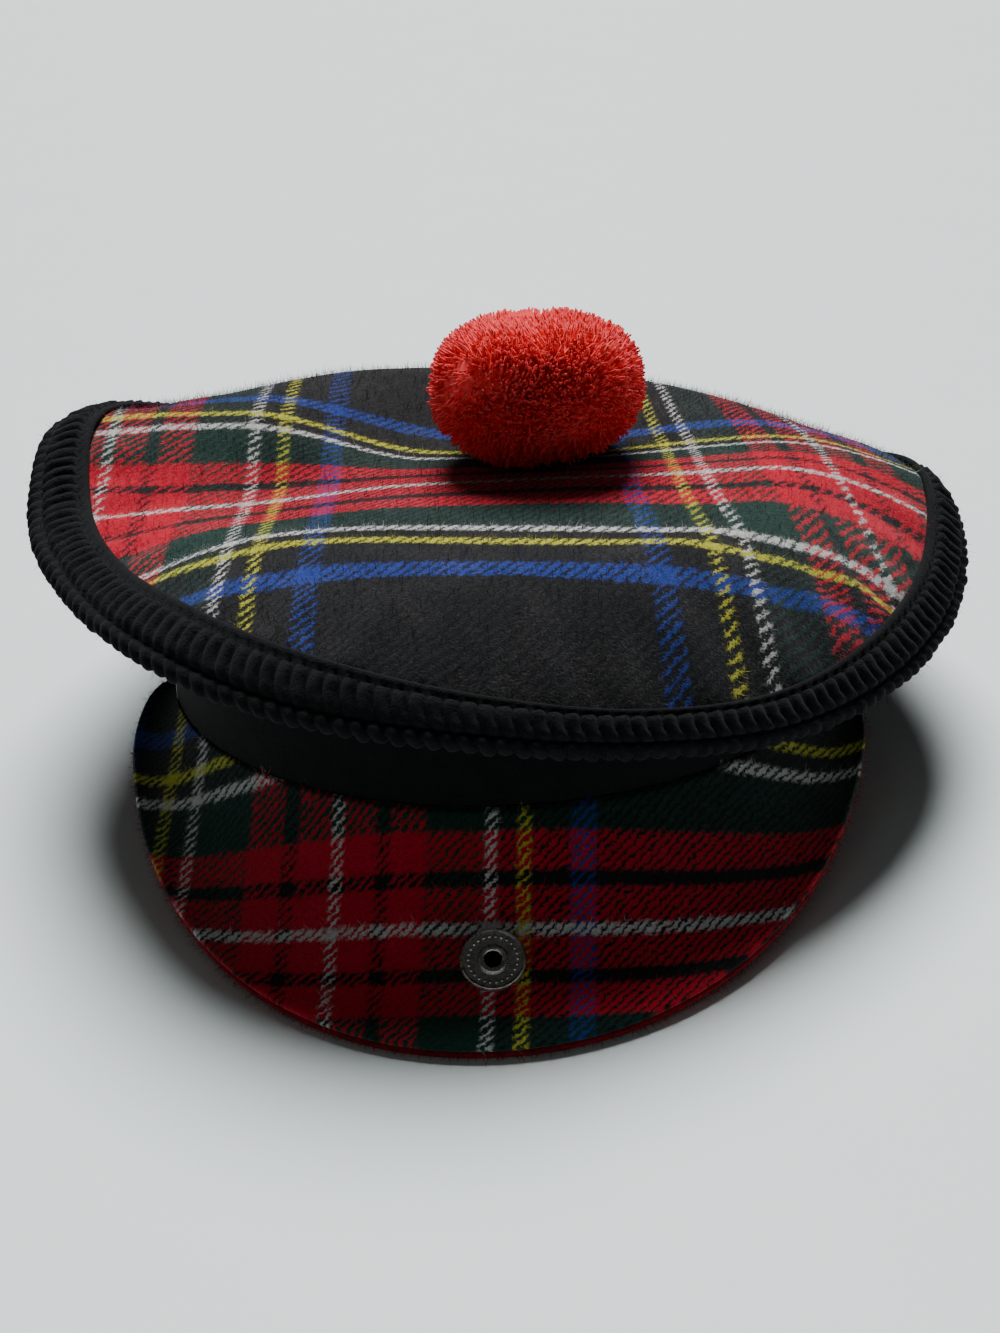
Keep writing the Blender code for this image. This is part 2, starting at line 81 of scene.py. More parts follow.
back = Vector((math.sin(YAW) * math.cos(PITCH), -math.cos(YAW) * math.cos(PITCH), math.sin(PITCH)))
right = Vector((math.cos(YAW), math.sin(YAW), 0.0))
up = back.cross(right)
rolled_right = right * math.cos(ROLL) - up * math.sin(ROLL)
rolled_up = up * math.cos(ROLL) + right * math.sin(ROLL)
place = right * AIM_ACROSS + Vector((0, 0, AIM_HEIGHT)) + back * DISTANCE
axes = Matrix((rolled_right, rolled_up, back)).transposed().to_4x4()

camera_data = bpy.data.cameras.new("camera")
camera_data.sensor_fit = "HORIZONTAL"
camera_data.sensor_width = 36.0
camera_data.lens = 36.0 * LENS_PIXELS / FRAME_PIXELS
camera_data.clip_start, camera_data.clip_end = 0.01, 50.0
camera = bpy.data.objects.new("camera", camera_data)
bpy.context.scene.collection.objects.link(camera)
camera.matrix_world = AT_REST @ Matrix.Translation(place) @ axes
bpy.context.scene.camera = camera
print("camera at", [round(v, 3) for v in camera.matrix_world.translation])

# %% [markdown]
# Shader sums are easier to read as arithmetic than as a picture of nodes. This class wraps one
# socket. Adding or multiplying two of them adds a Math node behind the scenes, and `node` makes any
# other kind of node from its settings and its sockets.

# %% Shader arithmetic
class Field:
    """A number or colour that changes over a surface."""

    def __init__(self, tree, socket=None):
        self.tree, self.socket = tree, socket

    def node(self, kind, inputs=None, output=0, stops=None, **settings):
        made = self.tree.nodes.new("ShaderNode" + kind)
        for name, value in settings.items():
            setattr(made, name, value)
        if stops:
            ramp = made.color_ramp
            while len(ramp.elements) < len(stops):
                ramp.elements.new(1.0)
            for element, (position, colour) in zip(ramp.elements, stops):
                element.position = position
                element.color = (*colour, 1.0)
        for name, value in (inputs or {}).items():
            if isinstance(value, Field):
                self.tree.links.new(value.socket, made.inputs[name])
            else:
                made.inputs[name].default_value = value
        return Field(self.tree, made.outputs[output])

    def sum(self, operation, *others):
        made = self.tree.nodes.new("ShaderNodeMath")
        made.operation = operation
        for slot, value in zip(made.inputs, (self, *others)):
            if isinstance(value, Field):
                self.tree.links.new(value.socket, slot)
            else:
                slot.default_value = value
        return Field(self.tree, made.outputs[0])

    def __add__(self, other):
        return self.sum("ADD", other)

    def __sub__(self, other):
        return self.sum("SUBTRACT", other)

    def __mul__(self, other):
        return self.sum("MULTIPLY", other)

    def __truediv__(self, other):
        return self.sum("DIVIDE", other)

    def smooth(self, low, high):
        """0 below low, 1 above high and a soft step between."""
        return self.node("MapRange", {"Value": self, "From Min": low, "From Max": high},
                         interpolation_type="SMOOTHSTEP")

    def blend(self, first, second):
        """first where this is 0, second where it is 1."""
        return self.node("Mix", {0: self, 6: first, 7: second}, output=2, data_type="RGBA")

    def noise(self, scale, detail, roughness=0.5):
        where = self.node("TexCoord", output=3)
        return self.node("TexNoise", {"Vector": where, "Scale": scale, "Detail": detail,
                                      "Roughness": roughness})


def linear(red, green, blue):
    """A colour read off a screen, 0 to 255, as the linear values that a shader works with."""
    def one(value):
        value /= 255.0
        return value / 12.92 if value <= 0.04045 else ((value + 0.055) / 1.055) ** 2.4
    return (one(red), one(green), one(blue))


def finish_material(look, colour, roughness, height=None, relief=0.0, **constants):
    """Joins the worked-out colour, roughness and relief to the look's Principled shader."""
    tree = colour.tree
    shader = tree.nodes["Principled BSDF"]
    for slot, value in (("Base Color", colour), ("Roughness", roughness)):
        if isinstance(value, Field):
            tree.links.new(value.socket, shader.inputs[slot])
        else:
            shader.inputs[slot].default_value = value
    if height is not None:
        bump = colour.node("Bump", {"Height": height, "Distance": relief, "Strength": 1.0})
        tree.links.new(bump.socket, shader.inputs["Normal"])
    for slot, value in constants.items():
        shader.inputs[slot.replace("_", " ")].default_value = value
    return look


def new_look(name):
    """A new material, and a field to start its sums from."""
    made = bpy.data.materials.new(name)
    made.use_nodes = True
    return made, Field(made.node_tree)

# %% [markdown]
# The tartan. Warp and weft have the same order of stripes, read both ways from one white line and
# mirrored after half a repeat. In the cloth each crossing shows the warp on some of its little
# diagonals and the weft on the others, because it is woven over two, under two. So the colour is
# worked out twice, once along the cloth and once across it, and a diagonal mask picks one.
# Positions come from the attribute `cloth`, in millimetres along the cloth itself. Brushing has
# blurred the stripes, so fine noise moves their edges, and some of the hairs are pale.

# %% Tartan wool
HALF_SETT = 104.0
TWILL, FINE_TWILL, WEAVE_STEP = 3.3, 2.5, 0.48
PALE_FIBRE = linear(132, 126, 128)
WHITE, YELLOW = linear(204, 204, 202), linear(192, 190, 56)
RED, GREEN = linear(196, 8, 44), linear(16, 52, 44)
BLUE, BLACK = linear(32, 58, 140), linear(19, 20, 23)
# Where each stripe starts, in millimetres from the white line in the middle of the red.
STRIPES = [
    (0.0, WHITE), (1.4, RED), (9.7, BLACK), (13.4, RED), (22.0, GREEN), (36.5, WHITE),
    (39.5, BLACK), (44.4, YELLOW), (47.6, BLACK), (57.0, BLUE), (63.0, BLACK),
]
SOFT_EDGE = 0.45  # half the width, in millimetres, over which one stripe turns into the next
stripe_stops = [(0.0, WHITE)]
for (_, before), (start, after) in zip(STRIPES, STRIPES[1:]):
    stripe_stops += [((start - SOFT_EDGE) / HALF_SETT, before),
                     ((start + SOFT_EDGE) / HALF_SETT, after)]


def tartan(name, fibre, twill=TWILL, warp_hidden=0.44, ragged=3.2):
    """Tartan wool; fibre is the share of pale fluff, and ragged how far a stripe's edge wanders."""
    look, field = new_look(name)
    place = field.node("Attribute", {}, output=1, attribute_name="cloth")
    parts = field.node("SeparateXYZ", {"Vector": place})
    across = Field(field.tree, parts.socket.node.outputs[0])
    along = Field(field.tree, parts.socket.node.outputs[1])
    loose = field.noise(480.0, 2.0)
    drift = field.noise(40.0, 1.0)
    fine = field.noise(1500.0, 3.0, roughness=0.7)
    felted = field.noise(1150.0, 2.0, roughness=0.7)
    across = across + (loose - 0.5) * 1.4 + (drift - 0.5) * 1.0 + (fine - 0.5) * ragged
    along = along + (loose - 0.5) * -1.4 + (drift - 0.5) * -0.8 + (felted - 0.5) * ragged
    colours = []
    for value in (across, along):
        folded = value.sum("PINGPONG", HALF_SETT) / HALF_SETT
        ramp = field.node("ValToRGB", {"Fac": folded}, stops=stripe_stops)
        ramp.socket.node.color_ramp.interpolation = "LINEAR"
        colours.append(ramp)
    wave = ((across - along) / twill).sum("FRACT").sum("SUBTRACT", 0.5).sum("ABSOLUTE") * 2.0
    weave = (wave + (loose - 0.5) * 0.35).smooth(warp_hidden, warp_hidden + WEAVE_STEP)
    woven = weave.blend(colours[1], colours[0])
    patch = field.noise(60.0, 2.0)
    fluff = (fine * 0.9 + patch * 0.5 - 0.55).smooth(0.1, 0.75) * fibre
    furred = fluff.blend(woven, (*PALE_FIBRE, 1.0))
    shade = (fine - 0.5) * 0.8 + (patch - 0.5) * 0.3 + 1.0
    shaded = field.node("VectorMath", {0: furred, "Scale": shade}, operation="SCALE")
    height = wave * 0.4 + fine * 0.9 + loose * 0.6
    return finish_material(look, shaded, 0.9, height, 0.00028,
                           Sheen_Weight=0.18, Sheen_Roughness=0.45, Specular_IOR_Level=0.12)


TARTAN = tartan("brushed_tartan", 0.27)
TARTAN_FLUFF = tartan("tartan_hairs", 0.55)
PEAK_TARTAN = tartan("peak_tartan_wool", 0.06, FINE_TWILL, 0.38, 2.0)
PEAK_FLUFF = tartan("peak_tartan_hairs", 0.12, FINE_TWILL, 0.38, 2.0)
print("tartan repeat in mm:", 2 * HALF_SETT, "with", 2 * len(STRIPES) - 1, "stripes")

# %% [markdown]
# The plain wools are simpler: a dark one for the band and the under cloth, red for the peak's
# facing, black for the knitted edging and coral red for the pompom. Each has fine fibre in its
# colour and its relief, and a little sheen, because wool is lit up at its edges.

# %% Plain wools
def plain_wool(name, dark, light, scale, relief, sheen):
    look, field = new_look(name)
    fine = field.noise(scale, 3.0, roughness=0.65)
    patch = field.noise(scale * 0.12, 2.0)
    colour = (fine * 0.7 + patch * 0.3).smooth(0.3, 0.7).blend((*dark, 1.0), (*light, 1.0))
    return finish_material(look, colour, 0.9, fine + patch * 0.5, relief,
                           Sheen_Weight=sheen, Sheen_Roughness=0.4, Specular_IOR_Level=0.15)


DARK_WOOL = plain_wool("dark_cloth", linear(4, 4, 5), linear(13, 14, 16), 1300.0, 0.0003, 0.03)
FACING = plain_wool("red_facing", linear(110, 6, 22), linear(186, 14, 42), 1400.0, 0.0003, 0.2)
EDGING = plain_wool("black_edging", linear(6, 7, 9), linear(19, 21, 24), 1700.0, 0.0004, 0.03)
YARN = plain_wool("red_yarn", linear(248, 40, 54), linear(255, 84, 86), 500.0, 0.0002, 0.2)
print("plain wools:", DARK_WOOL.name, FACING.name, EDGING.name, YARN.name)

# %% Nickel
def nickel(name, dark, light):
    look, field = new_look(name)
    wear = field.noise(900.0, 3.0)
    colour = wear.smooth(0.3, 0.7).blend((*dark, 1.0), (*light, 1.0))
    return finish_material(look, colour, wear * 0.16 + 0.2, field.noise(600.0, 2.0), 0.00003,
                           Metallic=1.0)


NICKEL = nickel("bright_nickel", linear(160, 156, 150), linear(200, 196, 190))
# The dark nickel is painted shade: it stands for the shade deep inside the stud's cup and lines the
# cup's floor.
CUP_PAINTED_SHADE = nickel("tarnished_nickel", linear(20, 18, 17), linear(44, 41, 38))
print("metals:", NICKEL.name, CUP_PAINTED_SHADE.name)

# %% [markdown]
# The shape. The rim of the crown is a table with a row for each 20 degrees, and a smooth closed
# curve runs through its rows. These are the same values and formulas as in the solids, so a point
# worked out here lies on the solid's face.

# %% The crown's table
CROWN_OVERHANG, CROWN_RISE, CREST_RADIUS, BUTTON_SEAT = 0.024, 0.022, 0.070, 0.022
SHOULDER_POWER = 1.7
BRAID_FACE, BRAID_HALF_GAP, BRAID_WALL, GAP, CLOTH = 0.0150, 0.0026, 0.0018, 0.0003, 0.0020
CLOTH_TUCK = 0.002
CROWN_ROWS = [
    # azimuth, overhang, seam_rise, crest_rise, sag, face, tilt
    (-180, 0.40, -0.15, 1.41, 0.05, 1.00, 45),
    (-160, 0.45, 0.02, 1.49, 0.05, 1.00, 40),
    (-140, 0.59, 0.45, 1.59, 0.04, 0.92, 32),
    (-120, 0.77, 1.14, 1.61, 0.03, 1.00, 14),
    (-100, 0.90, 1.46, 1.49, 0.02, 1.02, 5),
    (-80, 0.70, 0.86, 0.92, 0.03, 1.10, 1),
    (-60, 0.52, 0.68, 0.91, 0.05, 1.08, 9),
    (-40, 0.48, 0.68, 1.00, 0.05, 1.15, 23),
    (-20, 0.50, 0.51, 1.00, 0.03, 1.08, 37),
    (0, 0.48, 0.18, 0.97, 0.00, 0.82, 37),
    (20, 0.50, -0.15, 0.95, 0.03, 0.66, 41),
    (40, 0.60, -0.31, 0.94, 0.05, 0.73, 42),
    (60, 0.73, -0.16, 0.92, 0.06, 0.91, 42),
    (80, 0.90, 0.16, 0.99, 0.06, 1.02, 40),
    (100, 1.01, 0.64, 1.14, 0.05, 1.02, 40),
    (120, 0.85, 0.42, 1.24, 0.05, 1.01, 48),
    (140, 0.62, 0.10, 1.31, 0.05, 1.00, 50),
    (160, 0.45, -0.06, 1.35, 0.05, 1.00, 48),
]
BAND_TOP = BAND_LIFT + BAND_HEIGHT


def polar(radius, azimuth, height):
    angle = math.radians(azimuth)
    return Vector((radius * math.sin(angle), -radius * math.cos(angle), height))


def smooth(share):
    share = min(max(share, 0.0), 1.0)
    return share * share * (3.0 - 2.0 * share)


def band_radius(azimuth):
    angle = math.radians(azimuth)
    return 1.0 / math.hypot(math.sin(angle) / (HEAD_WIDTH / 2), math.cos(angle) / (HEAD_DEPTH / 2))


def crown_row(azimuth):
    count = len(CROWN_ROWS)
    place = ((azimuth + 180.0) % 360.0) / (360.0 / count)
    first, share = int(place) % count, place - int(place)
    rows = [CROWN_ROWS[(first + offset) % count] for offset in (-1, 0, 1, 2)]
    values = []
    for column in range(1, 7):
        a, b, c, d = (row[column] for row in rows)
        values.append(b + 0.5 * share * (c - a + share * (2 * a - 5 * b + 4 * c - d
                      + share * (3 * (b - c) + d - a))))
    overhang, seam, crest, sag, face, tilt = values
    return {"radius": band_radius(azimuth) + overhang * CROWN_OVERHANG,
            "seam": BAND_TOP + seam * CROWN_RISE, "crest": BAND_TOP + crest * CROWN_RISE,
            "sag": sag * BAND_HEIGHT, "face": face * BRAID_FACE, "tilt": math.radians(tilt)}


def seam_frame(azimuth):
    """Seam point, then the edging's two directions: outwards along it and out of its face."""
    row = crown_row(azimuth)
    outward = polar(math.cos(row["tilt"]), azimuth, -math.sin(row["tilt"]))
    upward = polar(math.sin(row["tilt"]), azimuth, math.cos(row["tilt"]))
    return polar(row["radius"], azimuth, row["seam"]), outward, upward


def crown_height(row, radius):
    middle = BAND_TOP + CROWN_RISE
    if radius <= CREST_RADIUS:
        share = (radius - BUTTON_SEAT) / (CREST_RADIUS - BUTTON_SEAT)
        return middle + (row["crest"] - middle) * smooth(share)
    share = (radius - CREST_RADIUS) / (row["radius"] - CREST_RADIUS)
    return row["crest"] + (row["seam"] - row["crest"]) * share ** SHOULDER_POWER


ROUND = 240
azimuths = [360.0 * step / ROUND for step in range(ROUND)]
rows = {azimuth: crown_row(azimuth) for azimuth in azimuths}
print("rim from", round(min(r["seam"] for r in rows.values()) * 1000), "to",
      round(max(r["seam"] for r in rows.values()) * 1000), "mm high")

# %% [markdown]
# These helpers turn rings of points into a mesh, give cloth its thickness, and hand a piece over:
# turned to its resting place, pressed flat where the table holds it up, with the CAD node that it
# stands for hidden.

# %% Helpers for pieces
def grid_mesh(name, rings, closed_round=True, closed_across=False, middle=None, ends=False):
    """A surface through rings of points. Faces point out where rings go outwards or downwards."""
    bm = bmesh.new()
    loops = [[bm.verts.new(point) for point in ring] for ring in rings]
    count = len(loops[0])
    steps = range(count if closed_round else count - 1)
    pairs = list(zip(loops, loops[1:])) + ([(loops[-1], loops[0])] if closed_across else [])
    for inner, outer in pairs:
        for at in steps:
            after = (at + 1) % count
            bm.faces.new((inner[at], outer[at], outer[after], inner[after]))
    if middle is not None:
        hub = bm.verts.new(middle)
        for at in steps:
            bm.faces.new((hub, loops[0][at], loops[0][(at + 1) % count]))
    if ends:
        bm.faces.new([loop[0] for loop in loops])
        bm.faces.new([loop[-1] for loop in reversed(loops)])
    mesh = bpy.data.meshes.new(name)
    bm.to_mesh(mesh)
    bm.free()
    return mesh


def face_outwards(mesh, fill=False):
    """Turns the faces of a closed mesh outwards, after filling its holes where asked."""
    bm = bmesh.new()
    bm.from_mesh(mesh)
    if fill:
        bmesh.ops.holes_fill(bm, edges=bm.edges[:], sides=0)
    bmesh.ops.recalc_face_normals(bm, faces=bm.faces)
    bm.to_mesh(mesh)
    bm.free()
    return mesh


def new_object(name, mesh, look):
    made = bpy.data.objects.new(name, mesh)
    bpy.context.scene.collection.objects.link(made)
    mesh.materials.clear()
    mesh.materials.append(look)
    return made


def set_cloth(mesh, values):
    """Stores the place on the cloth, in millimetres, for the pattern."""
    attribute = mesh.attributes.new("cloth", "FLOAT_VECTOR", "POINT")
    flat = [coordinate for value in values for coordinate in (value[0], value[1], 0.0)]
    attribute.data.foreach_set("vector", flat)


def to_rest(mesh):
    mesh.transform(AT_REST)
    for vertex in mesh.vertices:
        vertex.co.z = max(vertex.co.z, 0.0)


def plain_mesh(obj):
    """Puts the result of the object's modifiers in its mesh and removes them."""
    seen = obj.evaluated_get(bpy.context.evaluated_depsgraph_get())
    mesh = bpy.data.meshes.new_from_object(seen)
    mesh.name = obj.name
    obj.modifiers.clear()
    obj.data = mesh
    return obj


def thicken(obj):
    """Gives a single surface of cloth its wall, inwards from the face that is seen."""
    wall = obj.modifiers.new("wall", "SOLIDIFY")
    wall.thickness, wall.offset, wall.use_even_offset = CLOTH, -1.0, True
    plain_mesh(obj)


def hand_over(obj, slot, *nodes):
    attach(obj, "root")
    if nodes:
        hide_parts(*nodes)
    triangles = sum(len(face.vertices) - 2 for face in obj.data.polygons)
    print(f"{obj.name}: {triangles} triangles")


def settle(obj, slot, *nodes):
    """Turns a smooth piece to its resting place and hands it over."""
    to_rest(obj.data)
    obj.data.shade_smooth()
    hand_over(obj, slot, *nodes)

# %% [markdown]
# Geometry Nodes make everything that repeats: the hairs of the brushed wool, the ribs of the
# edging, the yarn of the pompom and the beads on the press stud. These helpers write a tree in code
# and run it once on a mesh. A modifier input has to be set by its identifier.

# %% Helpers for Geometry Nodes
def new_tree(name, sizes):
    tree = bpy.data.node_groups.new(name, "GeometryNodeTree")
    tree.interface.new_socket("Geometry", in_out="INPUT", socket_type="NodeSocketGeometry")
    for size, value in sizes.items():
        kind = "NodeSocketInt" if isinstance(value, int) else "NodeSocketFloat"
        tree.interface.new_socket(size, in_out="INPUT", socket_type=kind).default_value = value
    tree.interface.new_socket("Geometry", in_out="OUTPUT", socket_type="NodeSocketGeometry")
    return tree, tree.nodes.new("NodeGroupInput"), tree.nodes.new("NodeGroupOutput")


def add_node(tree, kind, inputs=None, **settings):
    """A node with its settings, and its inputs given as values or as sockets to link."""
    made = tree.nodes.new(kind)
    for name, value in settings.items():
        setattr(made, name, value)
    for name, value in (inputs or {}).items():
        if isinstance(value, bpy.types.NodeSocket):
            tree.links.new(value, made.inputs[name])
        else:
            made.inputs[name].default_value = value
    return made


def maths(tree, operation, first, second=None):
    inputs = {0: first} if second is None else {0: first, 1: second}
    return add_node(tree, "ShaderNodeMath", inputs, operation=operation).outputs[0]


def vectors(tree, operation, first, second):
    slot = "Scale" if operation == "SCALE" else 1
    return add_node(tree, "ShaderNodeVectorMath", {0: first, slot: second},
                    operation=operation).outputs[0]


def chance(tree, low, high, seed):
    """A random number for each point."""
    return add_node(tree, "FunctionNodeRandomValue", {2: low, 3: high, "Seed": seed},
                    data_type="FLOAT").outputs[1]


def points_on(tree, starts, density):
    return add_node(tree, "GeometryNodeDistributePointsOnFaces",
                    {"Mesh": starts.outputs["Geometry"], "Density": starts.outputs[density],
                     "Seed": starts.outputs["Seed"]})


def turned_by(tree, rotation, **angles):
    """A rotation with a further turn in its own axes."""
    turn = add_node(tree, "ShaderNodeCombineXYZ", angles)
    turned = add_node(tree, "FunctionNodeEulerToRotation", {0: turn.outputs[0]})
    return add_node(tree, "FunctionNodeRotateRotation",
                    {"Rotation": rotation, "Rotate By": turned.outputs[0]},
                    rotation_space="LOCAL").outputs[0]


def copies(tree, points, piece, rotation, size):
    shape = add_node(tree, "GeometryNodeObjectInfo", {"Object": piece})
    return add_node(tree, "GeometryNodeInstanceOnPoints",
                    {"Points": points, "Instance": shape.outputs["Geometry"],
                     "Rotation": rotation, "Scale": size}).outputs[0]


def close_tree(tree, ends, geometry, look):
    """Ends a tree in real faces with a material, because instances are not exported."""
    real = add_node(tree, "GeometryNodeRealizeInstances", {"Geometry": geometry})
    dressed = add_node(tree, "GeometryNodeSetMaterial",
                       {"Geometry": real.outputs[0], "Material": look})
    tree.links.new(dressed.outputs[0], ends.inputs[0])


def run_tree(obj, tree, sizes):
    modifier = obj.modifiers.new(tree.name, "NODES")
    modifier.node_group = tree
    for item in tree.interface.items_tree:
        if item.in_out == "INPUT" and item.name in sizes:
            modifier[item.identifier] = sizes[item.name]
    return plain_mesh(obj)

# %% [markdown]
# The crown's top cloth has many more faces than the solid, and shallow puckers near the sewn edge,
# where the edging gathers the cloth a little. The cloth was eased over the crown, so its lines are
# neither straight nor evenly apart. Two short tables say where some of the stripes run, and a curve
# through them gives every point its place on the cloth. The wool is about 2 mm thick.

# %% Place on the crown's cloth
LINES_ACROSS = [
    # place on the cloth, where it crosses the middle, how far it leans for each mm forwards, in mm
    (0.0, -102.5, 0.050), (46.0, -56.0, 0.046), (104.0, -5.0, 0.095), (148.0, 33.0, 0.130),
    (208.0, 87.0, 0.290),
]
STRIPES_AT = (-90.0, -60.0, -30.0, 0.0, 30.0, 60.0, 90.0)
LINES_ALONG = [
    # place on the cloth, then how far back the stripe runs at each of the places above, in mm
    (-60.0, (-80.0, -77.0, -75.0, -74.0, -72.0, -64.0, -52.0)),
    (-42.0, (-66.0, -55.0, -51.0, -51.0, -51.5, -50.0, -41.0)),
    (0.0, (-22.0, -17.0, -13.0, -9.5, -7.0, -5.0, -3.0)),
    (42.0, (16.0, 13.0, 13.5, 13.5, 12.0, 12.0, 17.0)),
    (60.0, (31.0, 27.0, 28.0, 28.0, 24.0, 25.0, 28.0)),
]
BEYOND = 1.15  # millimetres of cloth for each millimetre past the tables


def through(value, knots, results):
    """A smooth curve through the knots, going on straight past both ends."""
    if value <= knots[0]:
        return results[0] + (value - knots[0]) * BEYOND
    if value >= knots[-1]:
        return results[-1] + (value - knots[-1]) * BEYOND
    at = max(i for i, knot in enumerate(knots) if knot <= value)
    slopes = []
    for i in (at, at + 1):
        low, high = max(i - 1, 0), min(i + 1, len(knots) - 1)
        slopes.append((results[high] - results[low]) / (knots[high] - knots[low]))
    gap = knots[at + 1] - knots[at]
    t = (value - knots[at]) / gap
    return ((2 * t**3 - 3 * t**2 + 1) * results[at] + (t**3 - 2 * t**2 + t) * gap * slopes[0]
            + (3 * t**2 - 2 * t**3) * results[at + 1] + (t**3 - t**2) * gap * slopes[1])


def crown_cloth_place(point):
    x, y = point.x * 1000, point.y * 1000
    forwards = min(max(-y, -60.0), 100.0)
    crossings = [middle + lean * forwards for _, middle, lean in LINES_ACROSS]
    across = through(x, crossings, [line[0] for line in LINES_ACROSS])
    side = min(max(x, STRIPES_AT[0]), STRIPES_AT[-1])
    stripe_places = [through(side, STRIPES_AT, places) for _, places in LINES_ALONG]
    return across, through(y, stripe_places, [line[0] for line in LINES_ALONG])


print("place of the crown's middle on its cloth:",
      [round(v) for v in crown_cloth_place(Vector((0, 0, 0)))])

# %% Crown cloth
INNER_RINGS, SHOULDER_RINGS = 14, 22
PUCKERS, PUCKER_DEPTH = 37, 0.0007


def crown_point(azimuth, radius):
    row = rows[azimuth]
    near_seam = smooth((radius / row["radius"] - 0.76) / 0.22)
    wave = math.sin(math.radians(azimuth) * PUCKERS + 2.0 * math.sin(math.radians(azimuth) * 5))
    return polar(radius, azimuth, crown_height(row, radius) + PUCKER_DEPTH * wave * near_seam)


def build_crown():
    rings = []
    for step in range(INNER_RINGS + 1):
        radius = BUTTON_SEAT * 0.3 + (CREST_RADIUS - BUTTON_SEAT * 0.3) * step / INNER_RINGS
        flat = max(radius, BUTTON_SEAT)
        rings.append([crown_point(a, flat) if radius >= BUTTON_SEAT
                      else polar(radius, a, BAND_TOP + CROWN_RISE) for a in azimuths])
    for step in range(1, SHOULDER_RINGS + 1):
        share = step / SHOULDER_RINGS
        rings.append([crown_point(a, CREST_RADIUS + (rows[a]["radius"] - CREST_RADIUS) * share)
                      for a in azimuths])
    tucked = []
    for a in azimuths:
        seam, outward, upward = seam_frame(a)
        tucked.append(seam + outward * CLOTH_TUCK - upward * GAP)
    rings.append(tucked)
    middle = Vector((0, 0, BAND_TOP + CROWN_RISE))
    mesh = grid_mesh("crown_cloth", rings, middle=middle)
    set_cloth(mesh, [crown_cloth_place(vertex.co) for vertex in mesh.vertices])
    return mesh


crown_mesh = build_crown()
crown_skin = crown_mesh.copy()
crown = new_object("crown_cloth", crown_mesh, TARTAN)
thicken(crown)
settle(crown, "tartan_wool", "crown_top")

# %% [markdown]
# Brushed wool is never sharp at its edge. Short hairs stand off it, thin and bent. One hair is a
# narrow ribbon, a square and a point. The tree scatters it over a surface, leans each its own way
# and keeps the place on the cloth, so every hair has the colour of the wool that it grows from.

# %% Hairs of the wool
def ribbon(name, length, width, bend):
    """One hair: a ribbon that bends over and ends in a point."""
    mesh = bpy.data.meshes.new(name)
    points = [(-width, 0, 0), (width, 0, 0), (-width * 0.7, bend * 0.3, length * 0.55),
              (width * 0.7, bend * 0.3, length * 0.55), (0, bend, length)]
    mesh.from_pydata(points, [], [(0, 1, 3, 2), (2, 3, 4)])
    return mesh


def hair_tree(name, hair, look):
    sizes = {"Hairs per square metre": 400000.0, "Least lean": 1.0, "Most lean": 1.56,
             "Least length": 0.5, "Most length": 1.3, "Seed": 3}
    tree, starts, ends = new_tree(name, sizes)
    spread = points_on(tree, starts, "Hairs per square metre")
    lean = chance(tree, starts.outputs["Least lean"], starts.outputs["Most lean"], 11)
    rotation = turned_by(tree, spread.outputs["Rotation"], X=lean,
                         Z=chance(tree, 0.0, 2 * math.pi, 12))
    size = chance(tree, starts.outputs["Least length"], starts.outputs["Most length"], 13)
    put = copies(tree, spread.outputs["Points"], hair, rotation, size)
    close_tree(tree, ends, put, look)
    return tree


HAIR_LENGTH, HAIR_WIDTH, HAIR_BEND = 0.0022, 0.00004, 0.0009

hair = new_object("one_hair", ribbon("one_hair", HAIR_LENGTH, HAIR_WIDTH, HAIR_BEND),
                  TARTAN_FLUFF)
tartan_hairs = hair_tree("tartan_hairs", hair, TARTAN_FLUFF)
crown_halo = new_object("crown_halo", crown_skin.copy(), TARTAN_FLUFF)
run_tree(crown_halo, tartan_hairs, {"Hairs per square metre": 340000.0, "Least lean": 0.6,
                                    "Most lean": 1.5, "Least length": 0.4, "Most length": 1.6,
                                    "Seed": 4})
crown_fluff = new_object("crown_fluff", crown_skin, TARTAN_FLUFF)
run_tree(crown_fluff, tartan_hairs, {"Hairs per square metre": 900000.0})
for fluff in (crown_fluff, crown_halo):
    to_rest(fluff.data)
    hand_over(fluff, "tartan_wool")

# %% [markdown]
# The under cloth closes the crown from the edging in to the band. It is seen from below and, in
# deep shadow, between the rim and the peak.

# %% Under cloth
def build_under_cloth():
    top = BAND_TOP + GAP
    rings = []
    for offset in (-BAND_WALL, BAND_WALL / 2):
        rings.append([polar(band_radius(a) + offset, a, top) for a in azimuths])
    for step in range(1, 11):
        share = step / 10
        ring = []
        for a in azimuths:
            seam, _, upward = seam_frame(a)
            start = polar(band_radius(a) + BAND_WALL / 2, a, top)
            drop = 4 * share * (1 - share) * rows[a]["sag"]
            ring.append(start.lerp(seam - upward * 2 * BRAID_HALF_GAP, share)
                        - Vector((0, 0, drop)))
        rings.append(ring)
    tucked = []
    for a in azimuths:
        seam, outward, upward = seam_frame(a)
        tucked.append(seam - upward * (2 * BRAID_HALF_GAP - GAP) + outward * CLOTH_TUCK)
    rings.append(tucked)
    return grid_mesh("under_cloth", [list(reversed(ring)) for ring in rings])


under = new_object("under_cloth", build_under_cloth(), DARK_WOOL)
thicken(under)
settle(under, "dark_wool", "under_crown")

# %% [markdown]
# The edging is a knitted strip folded round the rim. A thin rolled cord runs along its seam, then
# come ribs across the strip, and a shallow crease parts them into an inner and an outer row. The
# fold is a surface on the formulas of the solid, with the cord and the crease in its section. Then
# a tree raises the ribs with a wave along the rim, and a slow noise makes them a little uneven.

# %% Ribbed edging
RIBS, RIB_DEPTH, RIB_STEPS = 186, 0.0016, 8
BRAID_UPPER, BRAID_LOWER, BRAID_POINTS = 88.0, -78.0, 27
CORD_SECTION = {0: 0.0001, 1: 0.0006, 2: 0.0004, 3: -0.0007}
CREASE_AT, CREASE_DEPTH, RIB_LEAN = 11, 0.0005, 0.55


